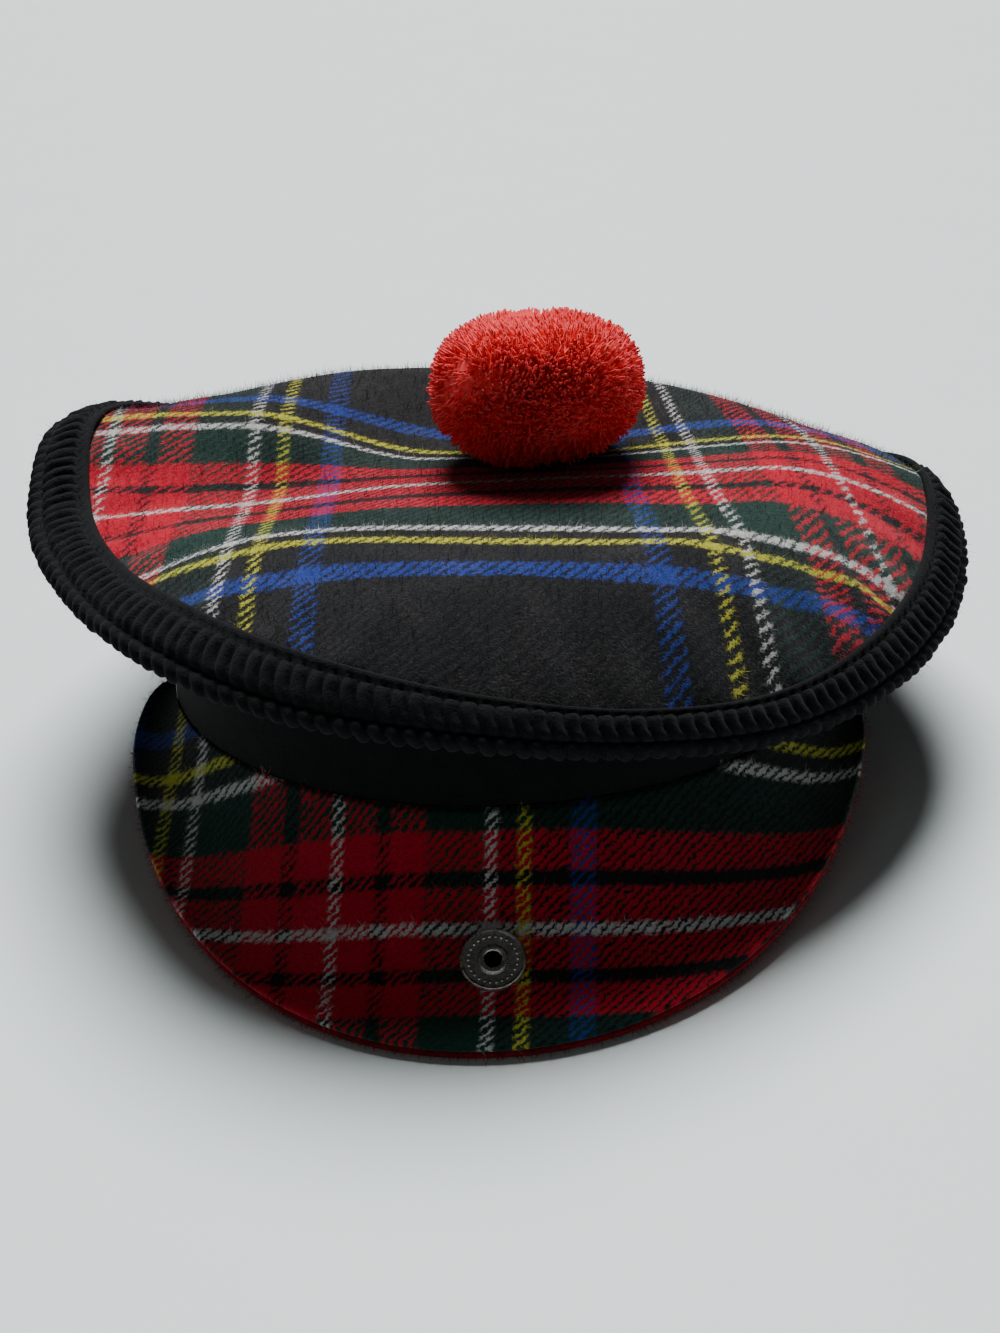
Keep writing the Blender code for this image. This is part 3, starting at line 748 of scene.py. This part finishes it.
def rim_places(count):
    """Azimuths that are equally far apart along the seam, not in degrees."""
    fine = [360.0 * step / 720 for step in range(721)]
    points = [seam_frame(a)[0] for a in fine]
    reached = [0.0]
    for one, two in zip(points, points[1:]):
        reached.append(reached[-1] + (two - one).length)
    places, at = [], 0
    for step in range(count):
        goal = reached[-1] * step / count
        while reached[at + 1] < goal:
            at += 1
        share = (goal - reached[at]) / (reached[at + 1] - reached[at])
        places.append(fine[at] + (fine[at + 1] - fine[at]) * share)
    return places, reached[-1]


def build_edging():
    places, length = rim_places(RIBS * RIB_STEPS)
    frames = [(*seam_frame(a), crown_row(a)["face"]) for a in places]
    half = BRAID_HALF_GAP + GAP + BRAID_WALL - RIB_DEPTH * 0.5
    inner_half = BRAID_HALF_GAP + GAP
    turns = [BRAID_UPPER + (BRAID_LOWER - BRAID_UPPER) * (step / (BRAID_POINTS - 1)) ** 1.25
             for step in range(BRAID_POINTS)]
    section = []
    for step, turn in enumerate(turns):
        crease = max(1.0 - abs(step - CREASE_AT) / 1.5, 0.0)
        swell = CORD_SECTION.get(step, 0.0) - crease * CREASE_DEPTH
        rib = 0.0 if step < 3 else (0.5 if step == 3 else 1.0 - 0.8 * crease)
        lean = RIB_LEAN * math.sin(math.pi * step / CREASE_AT) if step > 3 else 0.0
        section.append((math.radians(turn), half, swell, rib, lean))
    section += [(math.radians(t), inner_half, -BRAID_WALL, 0.0, 0.0) for t in reversed(turns[::3])]
    rings, ribs, along = [], [], []
    for turn, height, swell, rib, lean in section:
        tall = height + (swell if rib or swell > 0 else 0.0)
        rings.append([seam - upward * BRAID_HALF_GAP
                      + outward * (face - RIB_DEPTH * 0.5 + swell) * math.cos(turn)
                      + upward * tall * math.sin(turn)
                      for seam, outward, upward, face in frames])
        ribs += [rib] * len(frames)
        along += [step / RIB_STEPS + lean for step in range(len(frames))]
    mesh = grid_mesh("rim_edging", rings, closed_across=True)
    mesh.attributes.new("along", "FLOAT", "POINT").data.foreach_set("value", along)
    mesh.attributes.new("rib", "FLOAT", "POINT").data.foreach_set("value", ribs)
    return mesh, length


def rib_tree(look):
    tree, starts, ends = new_tree("ribs", {"Rib depth": 0.0006})
    along = add_node(tree, "GeometryNodeInputNamedAttribute", {"Name": "along"})
    rib = add_node(tree, "GeometryNodeInputNamedAttribute", {"Name": "rib"})
    sine = maths(tree, "SINE", maths(tree, "MULTIPLY", along.outputs[0], math.pi))
    wave = maths(tree, "POWER", maths(tree, "ABSOLUTE", sine), 0.6)
    lumps = add_node(tree, "ShaderNodeTexNoise", {"Scale": 260.0, "Detail": 1.0})
    uneven = maths(tree, "ADD", lumps.outputs[0], 0.45)
    shown = maths(tree, "MULTIPLY", maths(tree, "MULTIPLY", wave, uneven), rib.outputs[0])
    depth = maths(tree, "MULTIPLY", shown, starts.outputs["Rib depth"])
    normal = add_node(tree, "GeometryNodeInputNormal")
    offset = vectors(tree, "SCALE", normal.outputs[0], depth)
    raised = add_node(tree, "GeometryNodeSetPosition",
                      {"Geometry": starts.outputs["Geometry"], "Offset": offset})
    close_tree(tree, ends, raised.outputs[0], look)
    return tree


edging_mesh, rim_length = build_edging()
edging = new_object("rim_edging", edging_mesh, EDGING)
run_tree(edging, rib_tree(EDGING), {"Rib depth": RIB_DEPTH})
edging_fluff = new_object("edging_fluff", edging.data.copy(), EDGING)
run_tree(edging_fluff, hair_tree("edging_hairs", hair, EDGING),
         {"Hairs per square metre": 170000.0, "Least lean": 0.2, "Most lean": 1.4, "Seed": 8})
settle(edging, "braid_black", "rim_braid")
to_rest(edging_fluff.data)
hand_over(edging_fluff, "braid_black")
print("rim", round(rim_length * 1000), "mm round, a rib every",
      round(rim_length * 1000 / RIBS, 2), "mm")

# %% [markdown]
# The band is a plain ring of dark wool, with its edges rounded where the cloth turns over. At the
# back its lower edge is pressed flat by the table.

# %% Headband
def build_band():
    round_edge = 0.0011
    section = []
    for corner_out, corner_up, start in ((0, BAND_HEIGHT, 90), (-BAND_WALL, BAND_HEIGHT, 180),
                                         (-BAND_WALL, 0, 270), (0, 0, 0)):
        out = corner_out + (round_edge if corner_out else -round_edge)
        high = corner_up + (-round_edge if corner_up else round_edge)
        for turn in (0, 30, 60, 90):
            angle = math.radians(start - 90 + turn) if start else math.radians(turn - 90)
            section.append((out + round_edge * math.cos(angle),
                            high + round_edge * math.sin(angle)))
    rings = [[polar(band_radius(a) + out, a, BAND_LIFT + high) for a in azimuths]
             for out, high in section]
    return grid_mesh("band_cloth", rings, closed_across=True)


settle(new_object("band_cloth", build_band(), DARK_WOOL), "dark_wool", "headband")

# %% [markdown]
# The peak has two layers: tartan on top, plain red below, with the red turned up past the edge as a
# thin lip. Both are slabs on the solid's formulas. A section is a loop of points, each with its
# share of the way out, its depth below the top face and how far it stands past the edge.

# %% The peak's shape
PEAK_OVERHANG, PEAK_REACH, PEAK_TIP_SETBACK, PEAK_TIP_AZIMUTH = 0.007, 0.045, 0.020, 78.0
PEAK_COVER, PEAK_FACING, PEAK_LIP, PEAK_SEAM_RISE = 0.0022, 0.0018, 0.0008, 0.0035
PEAK_BOW, PEAK_RISE_POWER, PEAK_TIP_ROUND = 0.40, 1.15, 0.86
PEAK_TIP_LEAST, PEAK_SQUARE_RATE = 0.2, 3.0
PEAK_THICKNESS = PEAK_COVER + GAP + PEAK_FACING
PEAK_ACROSS, PEAK_RINGS = 150, 36


def peak_line(turn):
    azimuth = turn * PEAK_TIP_AZIMUTH
    inner = polar(band_radius(azimuth) + GAP, azimuth, BAND_LIFT + PEAK_SEAM_RISE)
    angle = turn * math.pi / 2
    front = HEAD_DEPTH / 2 + PEAK_REACH
    length = front - PEAK_TIP_SETBACK
    back = length * (1.0 - math.cos(angle))
    lift = BAND_LIFT * (back / length) ** PEAK_RISE_POWER
    edge = Vector(((HEAD_WIDTH / 2 + PEAK_OVERHANG) * math.sin(angle), back - front, lift))
    run = Vector((edge.x - inner.x, edge.y - inner.y, 0.0))
    steep = math.atan2(inner.z - edge.z - PEAK_THICKNESS, run.length)
    edge.z += PEAK_THICKNESS * math.cos(steep) + PEAK_LIP * math.sin(steep * (1.0 - PEAK_BOW))
    into_tip = max(abs(turn) - PEAK_TIP_ROUND, 0.0) / (1.0 - PEAK_TIP_ROUND)
    reach = max(math.sqrt(max(1.0 - into_tip * into_tip, 0.0)), PEAK_TIP_LEAST)
    return inner, inner.lerp(edge, reach), run.normalized(), steep


def peak_point(line, share, depth, past_edge=0.0):
    inner, edge, out, steep = line
    bowed = share + PEAK_BOW * share * (1.0 - share)
    top = inner.lerp(edge, share)
    top.z = inner.z + (edge.z - inner.z) * bowed
    slope = steep * (1.0 - PEAK_BOW)
    downhill = out * math.cos(slope) - Vector((0, 0, math.sin(slope)))
    top += downhill * past_edge * share
    normal = out * math.sin(steep) + Vector((0, 0, math.cos(steep)))
    upright = Vector((0, 0, 1.0 / math.cos(steep)))
    return top - upright.lerp(normal, smooth(share * PEAK_SQUARE_RATE)) * depth


def peak_section(top, bottom, past):
    """Loop round a layer of the peak: over its top, round its outer edge and back below."""
    loop = [(ring / PEAK_RINGS, top, past * (ring / PEAK_RINGS)) for ring in range(PEAK_RINGS)]
    middle, half = (top + bottom) / 2, (bottom - top) / 2
    for turn in (90, 60, 30, 0, -30, -60, -90):
        angle = math.radians(turn)
        loop.append((1.0, middle - half * math.sin(angle), past + half * (math.cos(angle) - 0.6)))
    loop += [(ring / 12, bottom, past * (ring / 12)) for ring in range(11, -1, -1)]
    return loop


lines = [peak_line(2.0 * step / PEAK_ACROSS - 1.0) for step in range(PEAK_ACROSS + 1)]
print("peak", round((lines[-1][1] - lines[0][1]).length * 1000), "mm between its tips")

# %% Peak layers
PEAK_PIVOT = (-33.0, -117.0)


def peak_cloth_place(point):
    """Place on the peak's cloth: its stripes bow back to both sides and close up there."""
    x, y = point.x * 1000, point.y * 1000
    across = (x - PEAK_PIVOT[0]) * (1.0 if x < PEAK_PIVOT[0] else 1.06)
    bow = 0.0025 if x < 0 else 0.0035
    return across, (y - PEAK_PIVOT[1] - bow * x * x) * (1.32 - 0.0025 * abs(x))


def build_peak_layer(name, top, bottom, past):
    section = peak_section(top, bottom, past)
    rings = [[peak_point(line, *spot) for line in lines] for spot in section]
    mesh = grid_mesh(name, rings, closed_round=False, closed_across=True, ends=True)
    set_cloth(mesh, [peak_cloth_place(vertex.co) for vertex in mesh.vertices])
    return face_outwards(mesh)


# Where each layer starts and ends in depth, and how far it stands past the edge.
COVER_LAYER = (0.0, PEAK_COVER, 0.0)
FACING_LAYER = (PEAK_COVER + GAP, PEAK_THICKNESS, PEAK_LIP)
cover = new_object("peak_tartan", build_peak_layer("peak_tartan", *COVER_LAYER), PEAK_TARTAN)
settle(cover, "tartan_wool", "peak_cover")
facing = new_object("peak_lip", build_peak_layer("peak_lip", *FACING_LAYER), FACING)
settle(facing, "facing_wool", "peak_facing")

# %% Hairs on the peak
def peak_hairs(name, section, look, density, seed):
    skin = grid_mesh(name, [[peak_point(line, *spot) for line in lines] for spot in section],
                     closed_round=False)
    set_cloth(skin, [peak_cloth_place(vertex.co) for vertex in skin.vertices])
    made = new_object(name, skin, look)
    run_tree(made, hair_tree(name, hair, look), {"Hairs per square metre": density, "Seed": seed})
    to_rest(made.data)
    return made


OVER_EDGE = PEAK_RINGS + 7
peak_fluff = peak_hairs("peak_fluff", peak_section(*COVER_LAYER)[:OVER_EDGE], PEAK_FLUFF,
                        1100000.0, 5)
hand_over(peak_fluff, "tartan_wool")
lip_fluff = peak_hairs("lip_fluff", peak_section(*FACING_LAYER)[PEAK_RINGS:OVER_EDGE], FACING,
                       3000000.0, 6)
hand_over(lip_fluff, "facing_wool")

# %% [markdown]
# The pompom is a ball of cut yarn. A low ball inside fills it, and thousands of short strands grow
# from it. A slow noise leans neighbours the same way, which gives the whorls and dimples of a
# trimmed pompom, and a little chance on top keeps them from looking combed.

# %% Pompom
POMPOM_SIZE = Vector((0.057, 0.055, 0.0395))
POMPOM_TRIM = 0.0008
POMPOM_AT = Vector((0.0105, 0.009,
                    BAND_TOP + CROWN_RISE + GAP + 0.0395 / 2 - POMPOM_TRIM))
POMPOM_SQUARENESS, POMPOM_TUCK = 2.7, 0.16


def build_pompom_head(name, inset, level):
    bm = bmesh.new()
    bmesh.ops.create_icosphere(bm, subdivisions=level, radius=1.0)
    for vert in bm.verts:
        size = sum(abs(c) ** POMPOM_SQUARENESS for c in vert.co) ** (1.0 / POMPOM_SQUARENESS)
        half = POMPOM_SIZE / 2 - Vector((inset, inset, inset))
        tucked = 1.0 - POMPOM_TUCK * max(-vert.co.z / size, 0.0) ** 1.5
        half.x, half.y = half.x * tucked, half.y * tucked
        vert.co = Vector(c / size * s for c, s in zip(vert.co, half)) + POMPOM_AT
        vert.co.z = max(vert.co.z, BAND_TOP + CROWN_RISE + GAP)
    mesh = bpy.data.meshes.new(name)
    bm.to_mesh(mesh)
    bm.free()
    return mesh


def strand(name, length, radius, bend):
    """One strand of yarn: three sides, bent a little, narrow at the cut end."""
    mesh = bpy.data.meshes.new(name)
    points, faces = [], []
    for ring, (high, wide, over) in enumerate(((0, 0.8, 0), (0.6, 1.0, 0.35), (1.0, 0.75, 1.0))):
        for side in range(3):
            angle = 2 * math.pi * side / 3
            points.append((radius * wide * math.cos(angle) + bend * over,
                           radius * wide * math.sin(angle), length * high))
            if ring:
                after = (side + 1) % 3
                a, b = 3 * (ring - 1), 3 * ring
                faces.append((a + side, a + after, b + after, b + side))
    faces.append((6, 7, 8))
    mesh.from_pydata(points, [], faces)
    return mesh


def yarn_tree(piece, look):
    sizes = {"Strands per square metre": 900000.0, "Whorl": 5.0, "Whorl scale": 42.0,
             "Chance": 0.3, "Seed": 9}
    tree, starts, ends = new_tree("yarn", sizes)
    spread = points_on(tree, starts, "Strands per square metre")
    swirl = add_node(tree, "ShaderNodeTexNoise", {"Scale": starts.outputs["Whorl scale"],
                                                  "Detail": 1.0})
    centred = vectors(tree, "SUBTRACT", swirl.outputs["Color"], (0.5, 0.5, 0.5))
    swayed = vectors(tree, "SCALE", centred, starts.outputs["Whorl"])
    jitter = add_node(tree, "FunctionNodeRandomValue",
                      {0: (-1.0, -1.0, -1.0), 1: (1.0, 1.0, 1.0), "Seed": 21},
                      data_type="FLOAT_VECTOR")
    jittered = vectors(tree, "SCALE", jitter.outputs[0], starts.outputs["Chance"])
    grown = vectors(tree, "ADD", spread.outputs["Normal"],
                    vectors(tree, "ADD", swayed, jittered))
    aimed = add_node(tree, "FunctionNodeAlignRotationToVector", {"Vector": grown},
                     axis="Z")
    rotation = turned_by(tree, aimed.outputs[0], Z=chance(tree, 0.0, 2 * math.pi, 22))
    put = copies(tree, spread.outputs["Points"], piece, rotation, chance(tree, 0.75, 1.2, 23))
    close_tree(tree, ends, put, look)
    return tree


STRAND_LENGTH, STRAND_RADIUS, STRAND_BEND = 0.0060, 0.00036, 0.0009
HEAD_INSET, YARN_INSET = 0.0040, 0.0070

one_strand = new_object("one_strand", strand("one_strand", STRAND_LENGTH, STRAND_RADIUS,
                                             STRAND_BEND), YARN)
head = new_object("pompom_head", build_pompom_head("pompom_head", HEAD_INSET, 5), YARN)
settle(head, "pompom_red", "pompom")
yarn = new_object("pompom_yarn", build_pompom_head("pompom_yarn", YARN_INSET, 4), YARN)
run_tree(yarn, yarn_tree(one_strand, YARN), {"Strands per square metre": 2900000.0})
settle(yarn, "pompom_red")
for shown in (hair, one_strand):
    bpy.data.objects.remove(shown)

# %% [markdown]
# The press stud is turned metal, so its outline is spun round an axis that stands square to the
# peak. Its face is a rolled ring, a step down and a cup, whose floor is dark nickel as painted
# shade for the deep recess. Round beads fill the flat part of the ring.

# %% Press stud
SOCKET_RADIUS, SOCKET_SHIFT, SOCKET_PLACE, SOCKET_STEP = 0.0075, 0.004, 0.60, 0.02
SOCKET_FACE = [
    # radius, height, both as shares of the socket's radius
    (0.00, 0.06), (0.24, 0.06), (0.27, 0.20), (0.33, 0.25), (0.42, 0.25), (0.47, 0.15),
    (0.60, 0.17), (0.88, 0.20), (0.94, 0.25), (1.00, 0.12),
]
BEADS, BEAD_RADIUS, BEADS_AT = 26, 0.00042, 0.73


def socket_matrix():
    turn = SOCKET_SHIFT / (HEAD_WIDTH / 2 + PEAK_OVERHANG) * 2.0 / math.pi
    before, line, after = (peak_line(turn + step) for step in (-SOCKET_STEP, 0.0, SOCKET_STEP))
    along = peak_point(after, SOCKET_PLACE, 0) - peak_point(before, SOCKET_PLACE, 0)
    out = (peak_point(line, SOCKET_PLACE + SOCKET_STEP, 0)
           - peak_point(line, SOCKET_PLACE - SOCKET_STEP, 0))
    normal = out.cross(along).normalized()
    along.normalize()
    turned = Matrix((along, normal.cross(along), normal)).transposed().to_4x4()
    return Matrix.Translation(peak_point(line, SOCKET_PLACE, 0)) @ turned


def fix_to_peak(obj, slot, *nodes):
    obj.data.transform(socket_matrix())
    settle(obj, slot, *nodes)


def spun(name, profile, steps):
    """A closed turned solid from a profile of radius and height, top to bottom."""
    rings = []
    for radius, height in profile[1:-1]:
        rings.append([Vector((radius * math.cos(2 * math.pi * s / steps),
                              radius * math.sin(2 * math.pi * s / steps), height))
                      for s in range(steps)])
    return face_outwards(grid_mesh(name, rings, middle=Vector((0, 0, profile[0][1]))), fill=True)


under_peak = -PEAK_THICKNESS - GAP
profile = [(r * SOCKET_RADIUS, h * SOCKET_RADIUS) for r, h in SOCKET_FACE]
profile += [(SOCKET_RADIUS - GAP, GAP), (0.0024, GAP), (0.0024, under_peak),
            (0.0048, under_peak), (0.0045, under_peak - 0.0010), (0.0, under_peak - 0.0010)]
socket = new_object("snap_ring", spun("snap_ring", profile, 64), NICKEL)
soften = socket.modifiers.new("soften", "BEVEL")
soften.width, soften.segments, soften.limit_method = 0.00018, 3, "ANGLE"
soften.angle_limit = math.radians(25)
plain_mesh(socket)
fix_to_peak(socket, "nickel", "snap_socket")


def bead_tree(look):
    tree, starts, ends = new_tree("beads", {"Bead radius": 0.0004})
    ball = add_node(tree, "GeometryNodeMeshIcoSphere", {"Radius": starts.outputs["Bead radius"],
                                                        "Subdivisions": 2})
    put = add_node(tree, "GeometryNodeInstanceOnPoints",
                   {"Points": starts.outputs["Geometry"], "Instance": ball.outputs["Mesh"]})
    close_tree(tree, ends, put.outputs[0], look)
    return tree


bead_places = bpy.data.meshes.new("ring_beads")
reach = SOCKET_RADIUS * BEADS_AT
bead_places.from_pydata([(reach * math.cos(2 * math.pi * b / BEADS),
                          reach * math.sin(2 * math.pi * b / BEADS), SOCKET_RADIUS * 0.185)
                         for b in range(BEADS)], [], [])
beads = new_object("ring_beads", bead_places, NICKEL)
run_tree(beads, bead_tree(NICKEL), {"Bead radius": BEAD_RADIUS})
fix_to_peak(beads, "nickel")

# The cup's floor is a disc of the dark nickel, painted shade for the deep recess of the socket.
floor_size = SOCKET_RADIUS * 0.235
cup = new_object("cup_floor", spun("cup_floor", [
    (0.0, SOCKET_RADIUS * 0.085), (floor_size * 0.5, SOCKET_RADIUS * 0.085),
    (floor_size, SOCKET_RADIUS * 0.11), (floor_size, SOCKET_RADIUS * 0.065),
    (0.0, SOCKET_RADIUS * 0.065)], 40), CUP_PAINTED_SHADE)
fix_to_peak(cup, "nickel")

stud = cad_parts["snap_stud"]
stud.data.materials.clear()
stud.data.materials.append(NICKEL)

# %% [markdown]
# The setting is a plain pale surface. One broad light stands above and a little behind the hat, so
# the crown is bright, and the band and the inner half of the peak lie in its shadow. A weak light
# in front opens that shadow a little. The room is pale to look at and gives little light.

# %% Surface and light
pale, field = new_look("pale_surface")
grain = field.noise(30.0, 3.0)
tone = grain.blend((*linear(236, 249, 248), 1.0), (*linear(241, 253, 252), 1.0))
surface_look = finish_material(pale, tone, 0.6)
floor_mesh = grid_mesh("surface", [[Vector((x, y, 0)) for y in (20.0, -20.0)]
                                   for x in (-20.0, 20.0)], closed_round=False)
floor = new_object("surface", floor_mesh, surface_look)

world = bpy.data.worlds.new("sky")
world.use_nodes = True
room = Field(world.node_tree)
seen = room.node("LightPath")
backdrop = world.node_tree.nodes["Background"]
backdrop.inputs["Color"].default_value = (0.80, 0.83, 0.82, 1.0)
world.node_tree.links.new((seen * 0.66 + 0.05).socket, backdrop.inputs["Strength"])
bpy.context.scene.world = world


def soft_light(name, place, aim, size, power):
    data = bpy.data.lights.new(name, "AREA")
    data.shape, data.size, data.energy = "DISK", size, power
    lamp = bpy.data.objects.new(name, data)
    bpy.context.scene.collection.objects.link(lamp)
    lamp.location = place
    lamp.rotation_euler = (Vector(aim) - Vector(place)).to_track_quat("-Z", "Y").to_euler()


overhead = bpy.data.lights.new("overhead", "SUN")
overhead.angle, overhead.energy = math.radians(30), 5.7
LIGHT_FALLS = Vector((0.06, -1.0, -1.22))
lamp = bpy.data.objects.new("overhead", overhead)
bpy.context.scene.collection.objects.link(lamp)
lamp.rotation_euler = LIGHT_FALLS.to_track_quat("-Z", "Y").to_euler()
soft_light("front", (-0.5, -0.9, 0.8), (0, 0, 0.05), 0.6, 0.2)
